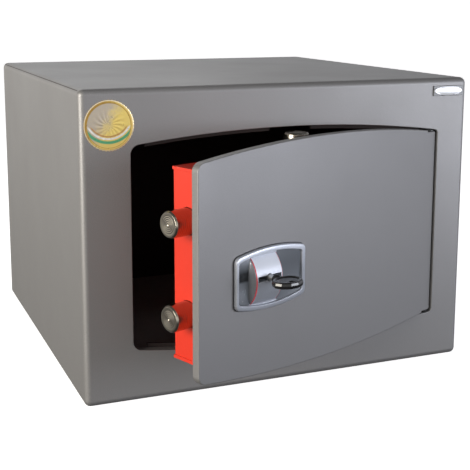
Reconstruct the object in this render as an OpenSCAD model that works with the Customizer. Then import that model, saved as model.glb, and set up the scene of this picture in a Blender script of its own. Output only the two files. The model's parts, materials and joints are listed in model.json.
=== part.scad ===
// Free-standing key-lock safe with a barrel-shaped door.
// The body stands on z = 0, centred on x = 0 and y = 0, with its front facing -Y.
// The door and its bolt work are drawn closed and unlocked, then swung open about the hinge.

/* [Body] */
// Outside width of the body
body_w = 400; // [360:5:460]
// Outside depth of the body
body_d = 392; // [340:4:480]
// Outside height of the body
body_h = 292; // [280:4:340]
// Sheet thickness of the body's walls
wall = 3; // [2:0.5:4]
// Thickness of the front frame
frame_t = 10; // [8:1:12]
// Radius of the bends along the outside edges
edge_r = 6; // [2:0.5:7]

/* [Opening] */
// Height of the opening's straight sides
side_h = 190; // [170:2:190]
// How far the arched top and bottom rise over the sides
rise = 11; // [6:1:14]
// Height of the opening's middle over the base
door_z = 145; // [140:1:150]
// Width of the opening's left margin
margin_l = 46.5; // [42:0.5:60]
// Width of the opening's right margin
margin_r = 33; // [30:0.5:45]
// Radius of the opening's corners
opening_r = 9; // [4:0.5:14]

/* [Door] */
// Angle at which the door stands open
door_open = 20.5; // [0:0.5:90]
// Thickness of the door plate
door_t = 8; // [6:1:8]
// Gap between the door and the opening on the lock side
gap_l = 3.5; // [3.5:0.5:6]
// Gap between the door and the opening on the hinge side
gap_r = 2; // [2:0.5:4]
// Gap over and under the door
gap_z = 1.5; // [1:0.25:3]
// Radius of the door's corners on the lock side
door_r = 8; // [3:0.5:12]
// Diameter of the hinge pins
pin_d = 5; // [4:0.5:5]

/* [Bolt work] */
// Diameter of the locking bolts
bolt_d = 24; // [18:1:26]
// Travel of the bolts between unlocked and locked
bolt_throw = 16; // [10:1:16]
// Depth of the bolts' middle behind the door's front
bolt_depth = 43; // [42:0.5:43]
// Distance between the two side bolts
bolt_pitch = 83; // [70:1:100]
// Depth of the lock case's back behind the door's front
case_depth = 61.5; // [61:0.5:70]
// Sheet thickness of the lock case
case_t = 2; // [1.5:0.5:3]

/* [Lock] */
// Distance from the hinge edge of the door to the keyhole
key_back = 243; // [230:1:245]
// Height of the keyhole over the base
key_z = 134; // [132:1:136]
// Width of the double-bit key's blade
bit_w = 26; // [20:1:26]
// Thickness of the key's blade
bit_t = 3.4; // [2:0.2:3.6]

/* [Hidden] */

$fn = 72;
arch_fn = 720;       // facets on the long arches
eps = 1;             // how far a cut runs past what it cuts
front_y = -body_d / 2;

// Opening and door outline
opening_x0 = -body_w / 2 + margin_l;
opening_x1 = body_w / 2 - margin_r;
opening_w = opening_x1 - opening_x0;
opening_x = (opening_x0 + opening_x1) / 2;
door_x0 = opening_x0 + gap_l;
door_x1 = opening_x1 - gap_r;
door_w = door_x1 - door_x0;
door_x = (door_x0 + door_x1) / 2;
door_side_h = side_h - 2 * gap_z;
hinge_edge_r = 2;      // corners of the door plate beside the hinge
opening_top = door_z + side_h / 2 + rise;
opening_bottom = door_z - side_h / 2 - rise;
opening_hinge_r = 4;   // corners of the opening beside the hinge
stop_t = 3;            // thickness of the stops
stop_lip_top = 4.5;    // how far the upper stop shows under the arch
stop_lip_bottom = 3.5; // how far the lower stop shows over the arch
stop_band = 16;        // how far the stops run past the opening
stop_inset = 16;       // how far the stops stay clear of the opening's sides
stop_relief = 44;      // width of the notch that lets a vertical bolt past
relief_edge = 1.4;     // distance from the opening's crown to the notch's end

// Hinge
hinge_x = door_x1 - 6;
hinge_d = door_t / 2;
pin_clear = 0.05;      // radial clearance of the pins in the door
pin_in_frame = 21;
pin_in_door = 12.5;
pin_end = 1;           // room past the pin's end in the door
seat_z = door_side_h / 2 - 0.1;
seat_w = 12;           // width of the flat seats over and under the door's hinge edge
washer_d = 10;
washer_clear = 0.1;
washer_t = 1.6;

// Lock case
case_z0 = 54;
case_z1 = 227.5;
case_x0 = door_x0 + 25;
case_x1 = door_x1 - 34;
case_z = 140;
cap_lip = 3;           // height of the caps' folded lips, with the cap's own sheet
cap_lip_t = 1;
post_d = 10;
post_in = 11;          // distance of the posts from the case's corners
post_thread = 13;
screw_d = 5;
screw_head_d = 9;
screw_head_t = 2;
post_xs = [case_x0 + post_in, case_x1 - post_in];
post_zs = [case_z0 + post_in, case_z1 - post_in];
hinge_bar_over = 4;    // how far the fixed bar reaches behind the frame
hinge_bar_gap = 4;
hinge_bar_t = 6;
hinge_bar_half = 60;

// Bolt work, measured as the depth behind the door's front
bolt_clear = 0.4;
bolt_bevel = 1.4;
bolt_len = 60;
bolt_thread = 15;
bolt_inset = 3;        // how far the drawn-in side bolts stay inside the door's edge
side_tip_x = door_x0 + bolt_inset;
side_tail_x = side_tip_x + bolt_len;
bar_t = 8;
bar_w = 22;
bar_over = 13;
bush_t = 4;
bush_d = bolt_d + 6;
bar_head_t = 3;
rod_x = door_x;
rod_w = 24;
rod_t = 5;
rod_gap = 8;
rod_end = 60;
tip_gap = 3.8;         // from the drawn-in vertical bolts to the opening's crown
top_tip = opening_top - tip_gap;
bottom_tip = opening_bottom + tip_gap;
drive_d0 = 34;
drive_t = 4;
drive_x1 = 47;
drive_half = 48;
drive_pin_d = 8;
slot_clear = 0.35;
drive_pin_at = 20;
drive_back = drive_d0 + drive_t + 0.5;
stud_xs = [-17, 25];
stud_head_d = 13;
stud_head_t = 2.6;
guide_at = 44;
guide_h = 10;
guide_w = 36;
side_zs = [case_z - bolt_pitch / 2, case_z + bolt_pitch / 2];
strike_window = bolt_d + 4;
strike_t = 3;
strike_d1 = 74;        // depth of the strikes' back edge
strike_gap = 1;
strike_over = 38;      // how far the side strike runs past the side bolts' middles
strike_half = 60;      // half the length of the top and bottom strikes

// Lock
key_x = door_x1 - key_back;
slot_w = bit_w + 1.5;
slot_h = bit_t + 1.2;
stem_d = 6;
stem_hole_d = 7.2;
shield_t = 3;
lock_d0 = door_t + shield_t;
lock_depth = 17;
lock_x0 = key_x - 40;
lock_x1 = key_x + 44;
lock_z0 = key_z - 30;
lock_z1 = key_z + 37;
lock_wall = 3;
lock_rim = 9;
cover_t = 2;
shield_over = [2, 4];  // how far the drill shield runs past the lock body in x and z
lock_screw_d = 4;
lock_screw_in = 7;
lock_head_d = 7;
lock_head_t = 2.2;
lock_screw_xs = [lock_x0 + lock_screw_in, lock_x1 - lock_screw_in];
lock_screw_zs = [lock_z0 + lock_rim / 2, lock_z1 - lock_rim / 2];
curtain_d = bit_w + 2.6;
curtain_d0 = lock_d0 + 2.3;
curtain_len = lock_depth - 2.6;
tongue_z0 = key_z + 16.5;
tongue_h = 10;
tongue_len = 50;
tongue_x1 = key_x + 33;
tongue_pin_d = 6;
lever_n = 5;
lever_t = 1.4;
lever_step = 2.2;
lever_post_x = key_x + 32;
lever_post_z = key_z - 14;
lever_post_d = 6;
lever_boss_d = 13;
lever_x0 = key_x + 8;
lever_w = 26;
lever_h = 28;

// Escutcheon
plate_x = key_x + 9;
plate_z = key_z - 2.7;
plate_w = 84;
plate_side_h = 45;
plate_rise = 5;
plate_r = 5;
plate_t = 1.5;
rim_w = 4.5;
rim_t = 2.5;
bulge_w = 29.6;
bulge_r = 29;
bulge_out = 9;
stripe_w = 1.2;
stripe_proud = 0.2;
window_t = 0.7;
window_gap = 0.5;
stud_d = 3;
stud_len = 6;
stud_half = 30;        // half the distance between the escutcheon's studs

// Key
bow_w = 30;
bow_l = 25;
bow_t = 5.6;
bow_r = 9;
bow_at = 18;           // distance of the bow in front of the door
collar_d = 8.6;
collar_len = 6;
ring_hole_d = 5.4;
ring_hole_at = 6.5;
blade_d0 = 14;
blade_len = 12;
pilot_d = 2.4;
pilot_len = 7;
bit_n = 4;             // cuts along each edge of the blade
bit_pitch = 2.6;
bit_cut = 1.4;
bit_start = 1.5;

// Anchors and trim
anchor_d = 12;
anchor_pitch = 250;
mat_t = 3;
mat_hole_d = 24;
mat_edge = 8;
mat_front = 6;
seal_d = 46;
seal_t = 0.4;
seal_x = 4 + seal_d / 2 - body_w / 2;
seal_z = body_h - 32.5;
badge_w = 34;
badge_h = 10;
badge_t = 1;
badge_r = 1;
badge_x = body_w / 2 - edge_r - badge_w / 2;
badge_z = body_h - 12.7;
oval_h = 7;
oval_half = badge_w / 2 - 4.2;

// Colours
paint = [0.40, 0.40, 0.40];
red_paint = [0.85, 0.20, 0.12];
nickel = [0.74, 0.73, 0.68];
steel = [0.62, 0.63, 0.65];
brass = [0.76, 0.62, 0.32];
black = [0.06, 0.06, 0.07];
silver = [0.70, 0.73, 0.78];
gold = [0.85, 0.72, 0.36];
felt = [0.20, 0.20, 0.22];

// ---------- shared shapes ----------

// Puts a door piece in its place with the door standing open.
module on_door() {
    translate([hinge_x, front_y + hinge_d, 0])
        rotate([0, 0, door_open])
            translate([-hinge_x, -front_y - hinge_d, 0]) children();
}

// Turns an outline drawn in x and z into a plate from depth d0 to d0 + t behind the front.
module plate_at(d0, t) {
    translate([0, front_y + d0 + t, 0])
        rotate([90, 0, 0]) linear_extrude(t) children();
}

// A round bar along the depth, from depth d0 to d0 + len.
module rod_y(x, z, d, d0, len) {
    translate([x, front_y + d0, z]) rotate([-90, 0, 0]) cylinder(d = d, h = len);
}

// A round bar along x at depth d, starting at x.
module rod_x(x, z, dia, depth, len) {
    translate([x, front_y + depth, z]) rotate([0, 90, 0]) cylinder(d = dia, h = len);
}

// A box given by its limits in x, depth behind the front, and z.
module block(x0, x1, d0, d1, z0, z1) {
    translate([x0, front_y + d0, z0]) cube([x1 - x0, d1 - d0, z1 - z0]);
}

function arch_radius(w, h) = (w * w / 4 + h * h) / (2 * h);

// Height of a corner circle's middle, for an outline w wide with sides h high, arched by up.
function corner_z(w, h, up, r) =
    let (big = arch_radius(w, up))
    h / 2 + up - big + sqrt(pow(big - r, 2) - pow(w / 2 - r, 2));

// Where a corner circle meets the arch, as a distance from the middle.
function corner_x(w, up, r) =
    let (big = arch_radius(w, up)) (w / 2 - r) * big / (big - r);

// Barrel outline: straight sides, arched top and bottom, and rounded corners.
module barrel(w, h, up, r_left, r_right) {
    big = arch_radius(w, up);
    intersection() {
        translate([0, h / 2 + up - big]) circle(r = big, $fn = arch_fn);
        translate([0, -h / 2 - up + big]) circle(r = big, $fn = arch_fn);
        union() {
            translate([-corner_x(w, up, r_left), -h])
                square([corner_x(w, up, r_left) + corner_x(w, up, r_right), 2 * h]);
            translate([-w / 2, -corner_z(w, h, up, r_left)])
                square([w / 2, 2 * corner_z(w, h, up, r_left)]);
            translate([0, -corner_z(w, h, up, r_right)])
                square([w / 2, 2 * corner_z(w, h, up, r_right)]);
            for (side = [-1, 1]) {
                translate([r_left - w / 2, side * corner_z(w, h, up, r_left)]) circle(r = r_left);
                translate([w / 2 - r_right, side * corner_z(w, h, up, r_right)])
                    circle(r = r_right);
            }
        }
    }
}

// Rectangle with rounded corners, centred.
module round_rect(w, h, r) {
    square([w - 2 * r, h], center = true);
    square([w, h - 2 * r], center = true);
    for (x = [-1, 1], y = [-1, 1]) translate([x * (w / 2 - r), y * (h / 2 - r)]) circle(r = r);
}

// Box with all its edges rounded, standing on z = 0.
module round_box(w, d, h, r) {
    translate([0, 0, h / 2])
        intersection() {
            translate([0, 0, -h / 2]) linear_extrude(h) round_rect(w, d, r);
            rotate([90, 0, 0]) translate([0, 0, -d / 2]) linear_extrude(d) round_rect(w, h, r);
            rotate([90, 0, 90]) translate([0, 0, -w / 2]) linear_extrude(w) round_rect(d, h, r);
        }
}

// Slot with round ends from point a to point b.
module slot(a, b, d) {
    len = norm(b - a);
    translate(a) circle(d = d);
    translate(b) circle(d = d);
    translate((a + b) / 2) rotate(atan2(b[1] - a[1], b[0] - a[0])) square([len, d], center = true);
}

// The opening's outline, with its arches moved inwards by lip.
module opening_outline(lip_top = 0, lip_bottom = 0) {
    translate([opening_x, door_z + (lip_bottom - lip_top) / 2])
        barrel(opening_w, side_h - lip_top - lip_bottom, rise, opening_r, opening_hinge_r);
}

// Keyhole outline: a slot for the blade and a round hole for the stem.
module keyhole() {
    translate([key_x, key_z]) {
        square([slot_w, slot_h], center = true);
        circle(d = stem_hole_d);
    }
}

// Bolt with its bevelled tip at the origin, pointing up, and its body running down by len.
module bolt_shape(len) {
    rotate_extrude() polygon([
        [0, 0], [bolt_d / 2 - bolt_bevel, 0], [bolt_d / 2, -bolt_bevel], [bolt_d / 2, -len], [0, -len]
    ]);
}

// ---------- body ----------

module front_frame() {
    color(paint) difference() {
        intersection() {
            round_box(body_w, body_d, body_h, edge_r);
            block(-body_w, body_w, -eps, frame_t, -eps, body_h + eps);
        }
        plate_at(-eps, frame_t + 2 * eps) opening_outline();
        for (z = [opening_bottom - pin_in_frame, door_z])
            translate([hinge_x, front_y + hinge_d, z])
                cylinder(d = pin_d, h = opening_top + pin_in_frame - door_z);
    }
}

module casing_shell() {
    color(paint) difference() {
        intersection() {
            round_box(body_w, body_d + 4 * edge_r, body_h, edge_r);
            block(-body_w, body_w, frame_t, body_d, -eps, body_h + eps);
        }
        block(wall - body_w / 2, body_w / 2 - wall, 0, body_d + eps, wall, body_h - wall);
        for (side = [-1, 1])
            translate([side * anchor_pitch / 2, 0, -eps]) cylinder(d = anchor_d, h = wall + 2 * eps);
    }
}

module back_panel() {
    color(paint) difference() {
        block(wall - body_w / 2, body_w / 2 - wall, body_d - wall, body_d, wall, body_h - wall);
        for (side = [-1, 1])
            rod_y(side * anchor_pitch / 2, body_h / 2, anchor_d, body_d - wall - eps, wall + 2 * eps);
    }
}

// Strip welded behind the frame that the door plate closes against.
module door_stop(z0, z1, relief_z0, relief_z1) {
    color(paint) plate_at(frame_t, stop_t) difference() {
        translate([opening_x0 + stop_inset, z0])
            square([opening_w - 2 * stop_inset, z1 - z0]);
        opening_outline(stop_lip_top, stop_lip_bottom);
        translate([rod_x - stop_relief / 2, relief_z0])
            square([stop_relief, relief_z1 - relief_z0]);
    }
}

module door_stop_top() {
    door_stop(door_z + side_h / 4, opening_top + stop_band, door_z, opening_top - relief_edge);
}

module door_stop_bottom() {
    door_stop(opening_bottom - stop_band, door_z - side_h / 4, opening_bottom + relief_edge, door_z);
}

module strike_side() {
    x1 = opening_x0 - strike_gap;
    color(paint) difference() {
        block(x1 - strike_t, x1, frame_t, strike_d1, side_zs[0] - strike_over,
            side_zs[1] + strike_over);
        for (z = side_zs)
            block(x1 - strike_t - eps, x1 + eps, bolt_depth - strike_window / 2,
                bolt_depth + strike_window / 2, z - strike_window / 2, z + strike_window / 2);
    }
}

// Shelf-shaped strike over or under the opening, with a window for a vertical bolt.
module strike_shelf(z) {
    color(paint) difference() {
        block(rod_x - strike_half, rod_x + strike_half, frame_t + stop_t, strike_d1, z, z + strike_t);
        block(rod_x - strike_window / 2, rod_x + strike_window / 2, bolt_depth - strike_window / 2,
            bolt_depth + strike_window / 2, z - eps, z + strike_t + eps);
    }
}

module strike_top() { strike_shelf(opening_top + strike_gap); }

module strike_bottom() { strike_shelf(opening_bottom - strike_gap - strike_t); }

module hinge_pin(z, len) {
    color(steel) translate([hinge_x, front_y + hinge_d, z]) cylinder(d = pin_d, h = len);
}

module hinge_pin_upper() {
    z = door_z + seat_z - pin_in_door;
    hinge_pin(z, opening_top + pin_in_frame - z);
}

module hinge_pin_lower() {
    z = door_z - seat_z + pin_in_door;
    hinge_pin(opening_bottom - pin_in_frame, z - opening_bottom + pin_in_frame);
}

module hinge_washers() {
    color(brass)
        for (z = [door_z + seat_z + washer_clear, door_z - seat_z - washer_clear - washer_t])
            translate([hinge_x, front_y + hinge_d, z]) difference() {
                cylinder(d = washer_d, h = washer_t);
                translate([0, 0, -eps]) cylinder(d = pin_d, h = washer_t + 2 * eps);
            }
}

module floor_mat() {
    color(felt) difference() {
        block(mat_edge - body_w / 2, body_w / 2 - mat_edge, frame_t + mat_front, body_d - mat_edge,
            wall, wall + mat_t);
        for (side = [-1, 1])
            translate([side * anchor_pitch / 2, 0, 0])
                cylinder(d = mat_hole_d, h = wall + mat_t + eps);
    }
}

module seal_sticker() {
    color(gold) rod_y(seal_x, seal_z, seal_d, -seal_t, seal_t);
}

module badge_plate() {
    color(black) plate_at(-badge_t, badge_t)
        translate([badge_x, badge_z]) round_rect(badge_w, badge_h, badge_r);
}

module badge_oval() {
    color(silver) plate_at(-2 * badge_t, badge_t) translate([badge_x, badge_z])
        slot([-oval_half, 0], [oval_half, 0], oval_h);
}

// ---------- door ----------

module door_plate() {
    color(paint) on_door() difference() {
        plate_at(0, door_t) translate([door_x, door_z])
            barrel(door_w, door_side_h, rise, door_r, hinge_edge_r);
        for (z = [door_z + seat_z, door_z - seat_z - rise])
            block(door_x1 - seat_w, door_x1 + eps, -eps, door_t + eps, z, z + rise);
        for (z = [door_z + seat_z - pin_in_door - pin_end, door_z - seat_z - eps])
            translate([hinge_x, front_y + hinge_d, z])
                cylinder(d = pin_d + 2 * pin_clear, h = pin_in_door + pin_end + eps);
        plate_at(-eps, door_t + 2 * eps) keyhole();
        for (x = [-stud_half, stud_half])
            rod_y(plate_x + x, plate_z, stud_d, -eps, stud_len + eps);
    }
}

// Left, right and back walls of the lock case, bent from one sheet.
module lock_case() {
    z0 = case_z0 + case_t;
    z1 = case_z1 - case_t;
    color(red_paint) on_door() difference() {
        block(case_x0, case_x1, door_t, case_depth, z0, z1);
        block(case_x0 + case_t, case_x1 - case_t, 0, case_depth - case_t, z0 - eps, z1 + eps);
        for (z = side_zs)
            rod_x(case_x0 - eps, z, bolt_d + 2 * bolt_clear, bolt_depth, case_t + 2 * eps);
        for (x = post_xs, z = post_zs)
            rod_y(x, z, screw_d, case_depth - case_t - eps, case_t + 2 * eps);
    }
}

// End cap of the lock case with a lip folded over the walls, drawn for the top end.
module case_cap() {
    out = cap_lip_t;
    difference() {
        block(case_x0 - out, case_x1 + out, door_t, case_depth + out, case_z1 - cap_lip, case_z1);
        block(case_x0, case_x1, 0, case_depth, case_z1 - cap_lip - eps, case_z1 - case_t);
        translate([rod_x, front_y + bolt_depth, case_z1 - cap_lip - eps])
            cylinder(d = bolt_d + 2 * bolt_clear, h = cap_lip + 2 * eps);
    }
}

module case_cap_top() { color(red_paint) on_door() case_cap(); }

module case_cap_bottom() {
    color(red_paint) on_door()
        translate([0, 0, case_z0 + case_z1]) mirror([0, 0, 1]) case_cap();
}

module case_posts() {
    color(steel) on_door() difference() {
        for (x = post_xs, z = post_zs) rod_y(x, z, post_d, door_t, case_depth - case_t - door_t);
        for (x = post_xs, z = post_zs)
            rod_y(x, z, screw_d, case_depth - post_thread - eps, post_thread + eps);
    }
}

module case_screws() {
    color(steel) on_door()
        for (x = post_xs, z = post_zs) {
            rod_y(x, z, screw_d, case_depth - post_thread, post_thread);
            rod_y(x, z, screw_head_d, case_depth, screw_head_t);
        }
}

module ring(d_out, d_in, h) {
    difference() {
        cylinder(d = d_out, h = h);
        translate([0, 0, -eps]) cylinder(d = d_in, h = h + 2 * eps);
    }
}

module bolt_bushes() {
    hole = bolt_d + 2 * bolt_clear;
    color(black) on_door() {
        for (z = side_zs)
            translate([case_x0 + case_t, front_y + bolt_depth, z]) rotate([0, 90, 0])
                ring(bush_d, hole, bush_t);
        for (z = [case_z0 + case_t, case_z1 - case_t - bush_t])
            translate([rod_x, front_y + bolt_depth, z]) ring(bush_d, hole, bush_t);
    }
}

module hinge_side_bar() {
    color(steel) on_door()
        block(case_x1, opening_x1 + hinge_bar_over, frame_t + hinge_bar_gap,
            frame_t + hinge_bar_gap + hinge_bar_t, door_z - hinge_bar_half, door_z + hinge_bar_half);
}

module rod_guides() {
    color(steel) on_door() difference() {
        for (side = [-1, 1])
            block(rod_x - guide_w / 2, rod_x + guide_w / 2, drive_back, case_depth - case_t,
                case_z + side * (guide_at + guide_h / 2) - guide_h / 2,
                case_z + side * (guide_at + guide_h / 2) + guide_h / 2);
        block(rod_x - rod_w / 2 - slot_clear, rod_x + rod_w / 2 + slot_clear,
            bolt_depth - rod_t / 2 - slot_clear, bolt_depth + rod_t / 2 + slot_clear,
            case_z - rod_end - eps, case_z + rod_end + eps);
    }
}

module guide_studs() {
    color(steel) on_door()
        for (x = stud_xs) {
            rod_y(x, case_z, drive_pin_d, door_t, drive_back - door_t);
            rod_y(x, case_z, stud_head_d, drive_back, stud_head_t);
        }
}

// ---------- escutcheon ----------

module plate_outline(inset = 0) {
    translate([plate_x, plate_z])
        barrel(plate_w - 2 * inset, plate_side_h - 2 * inset, plate_rise, plate_r, plate_r);
}

// Slice of the bulge between x0 and x1, proud of the escutcheon's floor.
module bulge_slice(x0, x1, extra = 0) {
    intersection() {
        rod_x(x0, plate_z, 2 * (bulge_r + extra), bulge_r - bulge_out - plate_t, x1 - x0);
        block(x0, x1, -2 * bulge_r, -plate_t, plate_z - bulge_r, plate_z + bulge_r);
    }
}

module escutcheon_frame() {
    color(silver) on_door() difference() {
        union() {
            plate_at(-plate_t, plate_t) plate_outline();
            plate_at(-plate_t - rim_t, rim_t) difference() {
                plate_outline();
                plate_outline(rim_w);
            }
        }
        plate_at(-plate_t - eps, plate_t + 2 * eps) keyhole();
    }
}

module escutcheon_windows() {
    half = bulge_w / 2 + stripe_w + window_gap;
    color(black) on_door() plate_at(-plate_t - window_t, window_t) difference() {
        plate_outline(rim_w + window_gap);
        translate([key_x - half, plate_z - plate_side_h]) square([2 * half, 2 * plate_side_h]);
    }
}

module escutcheon_bulge() {
    color(silver) on_door() difference() {
        bulge_slice(key_x - bulge_w / 2, key_x + bulge_w / 2);
        plate_at(-bulge_r, bulge_r) keyhole();
    }
}

module escutcheon_stripes() {
    color(red_paint) on_door() {
        bulge_slice(key_x - bulge_w / 2 - stripe_w, key_x - bulge_w / 2, stripe_proud);
        bulge_slice(key_x + bulge_w / 2, key_x + bulge_w / 2 + stripe_w, stripe_proud);
    }
}

module escutcheon_studs() {
    color(steel) on_door()
        for (x = [-stud_half, stud_half]) rod_y(plate_x + x, plate_z, stud_d, 0, stud_len);
}

// ---------- lock ----------

module drill_shield() {
    color(steel) on_door() plate_at(door_t, shield_t) difference() {
        translate([lock_x0, lock_z0] - shield_over)
            square([lock_x1 - lock_x0, lock_z1 - lock_z0] + 2 * shield_over);
        keyhole();
    }
}

module lock_body() {
    color(steel) on_door() difference() {
        block(lock_x0, lock_x1, lock_d0, lock_d0 + lock_depth, lock_z0, lock_z1);
        block(lock_x0 + lock_wall, lock_x1 - lock_wall, lock_d0 + cover_t, lock_d0 + lock_depth + eps,
            lock_z0 + lock_rim, lock_z1 - lock_rim);
        plate_at(lock_d0 - eps, cover_t + 2 * eps) keyhole();
        for (x = lock_screw_xs, z = lock_screw_zs)
            rod_y(x, z, lock_screw_d, lock_d0 - eps, lock_depth + 2 * eps);
        rod_y(lever_post_x, lever_post_z, lever_post_d, lock_d0 + cover_t - eps, 2 * eps);
    }
}

module lock_cover() {
    z = tongue_z0 + tongue_h / 2;
    x = tongue_x1 - tongue_h / 2;
    color(steel) on_door() plate_at(lock_d0 + lock_depth, cover_t) difference() {
        translate([lock_x0, lock_z0]) square([lock_x1 - lock_x0, lock_z1 - lock_z0]);
        slot([x - bolt_throw, z], [x, z], tongue_pin_d + 2 * slot_clear);
        for (x = lock_screw_xs, z = lock_screw_zs) translate([x, z]) circle(d = lock_screw_d);
    }
}

module lock_screws() {
    color(steel) on_door()
        for (x = lock_screw_xs, z = lock_screw_zs) {
            rod_y(x, z, lock_screw_d, lock_d0, lock_depth + cover_t);
            rod_y(x, z, lock_head_d, lock_d0 + lock_depth + cover_t, lock_head_t);
        }
}

module lever_pack() {
    color(brass) on_door()
        for (i = [0 : lever_n - 1])
            plate_at(lock_d0 + cover_t + 1 + i * lever_step, lever_t) difference() {
                union() {
                    translate([lever_post_x, lever_post_z]) circle(d = lever_boss_d);
                    translate([lever_x0, lever_post_z]) square([lever_w, lever_h]);
                }
                translate([key_x, key_z]) circle(d = curtain_d + 1);
                translate([lever_post_x, lever_post_z]) circle(d = lever_post_d + 2 * slot_clear);
            }
}

module lever_post() {
    color(steel) on_door()
        rod_y(lever_post_x, lever_post_z, lever_post_d, lock_d0 + cover_t - eps,
            lock_depth - cover_t + eps);
}

// ---------- bolt work ----------

// Plate that carries the side bolts and drives the vertical rods through its slanted slots.
module bolt_carriage() {
    z = tongue_z0 + tongue_h / 2;
    fit = drive_pin_d + 2 * slot_clear;
    color(steel) on_door() {
        difference() {
            block(side_tail_x, side_tail_x + bar_t, bolt_depth - bar_w / 2, bolt_depth + bar_w / 2,
                side_zs[0] - bar_over, side_zs[1] + bar_over);
            for (z = side_zs) rod_x(side_tail_x - eps, z, screw_d, bolt_depth, bar_t + 2 * eps);
        }
        plate_at(drive_d0, drive_t) difference() {
            translate([side_tail_x + bar_t, case_z - drive_half])
                square([drive_x1 - side_tail_x - bar_t, 2 * drive_half]);
            for (side = [-1, 1])
                slot([rod_x, case_z + side * drive_pin_at],
                    [rod_x + bolt_throw, case_z + side * (drive_pin_at + bolt_throw)], fit);
            for (x = stud_xs) slot([x, case_z], [x + bolt_throw, case_z], fit);
            translate([tongue_x1 - tongue_h / 2, z]) circle(d = tongue_pin_d);
        }
    }
}

module side_bolt(z) {
    color(nickel) on_door() difference() {
        translate([side_tip_x, front_y + bolt_depth, z]) rotate([0, -90, 0]) bolt_shape(bolt_len);
        rod_x(side_tail_x - bolt_thread - eps, z, screw_d, bolt_depth, bolt_thread + 2 * eps);
    }
}

module side_bolt_upper() { side_bolt(side_zs[1]); }

module side_bolt_lower() { side_bolt(side_zs[0]); }

module bolt_screws() {
    color(steel) on_door()
        for (z = side_zs) {
            rod_x(side_tail_x - bolt_thread, z, screw_d, bolt_depth, bolt_thread + bar_t);
            rod_x(side_tail_x + bar_t, z, screw_head_d, bolt_depth, bar_head_t);
        }
}

module lock_bolt() {
    z = tongue_z0 + tongue_h / 2;
    color(brass) on_door() {
        block(tongue_x1 - tongue_len, tongue_x1, lock_d0 + cover_t + 1, lock_d0 + lock_depth - 2,
            tongue_z0, tongue_z0 + tongue_h);
        rod_y(tongue_x1 - tongue_h / 2, z, tongue_pin_d, lock_d0 + lock_depth - 2,
            drive_d0 + drive_t - lock_d0 - lock_depth + 2);
    }
}

// Flat rod with its drive pin, drawn above the middle of the case.
module rod_shape() {
    block(rod_x - rod_w / 2, rod_x + rod_w / 2, bolt_depth - rod_t / 2, bolt_depth + rod_t / 2,
        case_z + rod_gap, case_z + rod_end);
    rod_y(rod_x, case_z + drive_pin_at, drive_pin_d, drive_d0 - 1, bolt_depth - rod_t / 2 - drive_d0 + 1);
}

module top_rod() { color(steel) on_door() rod_shape(); }

module bottom_rod() {
    color(steel) on_door() translate([0, 0, 2 * case_z]) mirror([0, 0, 1]) rod_shape();
}

module top_bolt() {
    color(nickel) on_door() translate([rod_x, front_y + bolt_depth, top_tip])
        bolt_shape(top_tip - case_z - rod_end);
}

module bottom_bolt() {
    color(nickel) on_door() translate([rod_x, front_y + bolt_depth, bottom_tip])
        mirror([0, 0, 1]) bolt_shape(case_z - rod_end - bottom_tip);
}

// ---------- key ----------

module key_curtain() {
    color(brass) on_door() difference() {
        rod_y(key_x, key_z, curtain_d, curtain_d0, curtain_len);
        plate_at(curtain_d0 - eps, curtain_len + 2 * eps) keyhole();
    }
}

module key_blade() {
    color(steel) on_door() {
        difference() {
            rod_y(key_x, key_z, stem_d, -bow_at, bow_at + blade_d0 + blade_len + 1);
            rod_y(key_x, key_z, pilot_d, blade_d0 + blade_len - pilot_len, pilot_len + 2 * eps);
        }
        difference() {
            block(key_x - bit_w / 2, key_x + bit_w / 2, blade_d0, blade_d0 + blade_len,
                key_z - bit_t / 2, key_z + bit_t / 2);
            rod_y(key_x, key_z, stem_d - 0.6, blade_d0 - eps, blade_len + 2 * eps);
            for (i = [0 : bit_n - 1], side = [-1, 1])
                let (cut = bit_start + i % 2, d = blade_d0 + bit_start + i * bit_pitch)
                block(key_x + side * bit_w / 2 - cut, key_x + side * bit_w / 2 + cut, d, d + bit_cut,
                    key_z - bit_t, key_z + bit_t);
        }
    }
}

module key_bow() {
    y = front_y - bow_at - bow_l / 2;
    color(black) on_door() difference() {
        union() {
            translate([key_x, y, key_z - bow_t / 2]) linear_extrude(bow_t)
                round_rect(bow_w, bow_l, bow_r);
            rod_y(key_x, key_z, collar_d, 2 - bow_at - collar_len, collar_len);
        }
        translate([key_x, y - ring_hole_at, key_z - bow_t]) cylinder(d = ring_hole_d, h = 2 * bow_t);
        rod_y(key_x, key_z, stem_d, -bow_at, collar_len);
    }
}

front_frame();
casing_shell();
back_panel();
door_stop_top();
door_stop_bottom();
strike_side();
strike_top();
strike_bottom();
hinge_pin_upper();
hinge_pin_lower();
hinge_washers();
floor_mat();
seal_sticker();
badge_plate();
badge_oval();
door_plate();
lock_case();
case_cap_top();
case_cap_bottom();
case_posts();
case_screws();
bolt_bushes();
hinge_side_bar();
rod_guides();
guide_studs();
escutcheon_frame();
escutcheon_windows();
escutcheon_bulge();
escutcheon_stripes();
escutcheon_studs();
drill_shield();
lock_body();
lock_cover();
lock_screws();
lever_pack();
lever_post();
bolt_carriage();
side_bolt_upper();
side_bolt_lower();
bolt_screws();
lock_bolt();
top_rod();
top_bolt();
bottom_rod();
bottom_bolt();
key_curtain();
key_blade();
key_bow();
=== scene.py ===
# A key-lock safe with its barrel-shaped door standing ajar, on a plain pale floor.
import json
import math

import bmesh
import bpy
from mathutils import Matrix, Vector


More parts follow.
